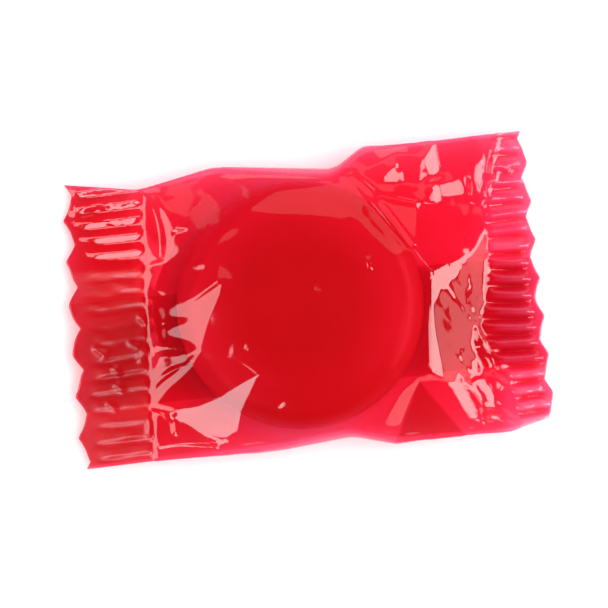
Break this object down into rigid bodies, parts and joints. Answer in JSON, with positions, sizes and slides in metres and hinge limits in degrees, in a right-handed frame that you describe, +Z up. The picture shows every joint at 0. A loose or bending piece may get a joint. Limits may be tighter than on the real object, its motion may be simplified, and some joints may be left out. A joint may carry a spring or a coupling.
{
  "type": "wrapped hard candy",
  "caption": "Round lens-shaped red hard candy sealed in a clear red film pillow pack with ribbed, zigzag-cut end seals, lying flat.",
  "frame": {"origin": "middle of the pack on the surface that it lies on", "axes": "+X along the pack from one end seal to the other, +Y across it towards the back of the picture, +Z up"},
  "size_m": [0.0494, 0.0304, 0.0086],
  "materials": {
    "film_and_candy": "clear red packing film, glossy and lightly crinkled, over a deep red translucent sweet"
  },
  "bodies": {
    "root": {"wrapped_candy": "film_and_candy"}
  },
  "joints": []
}
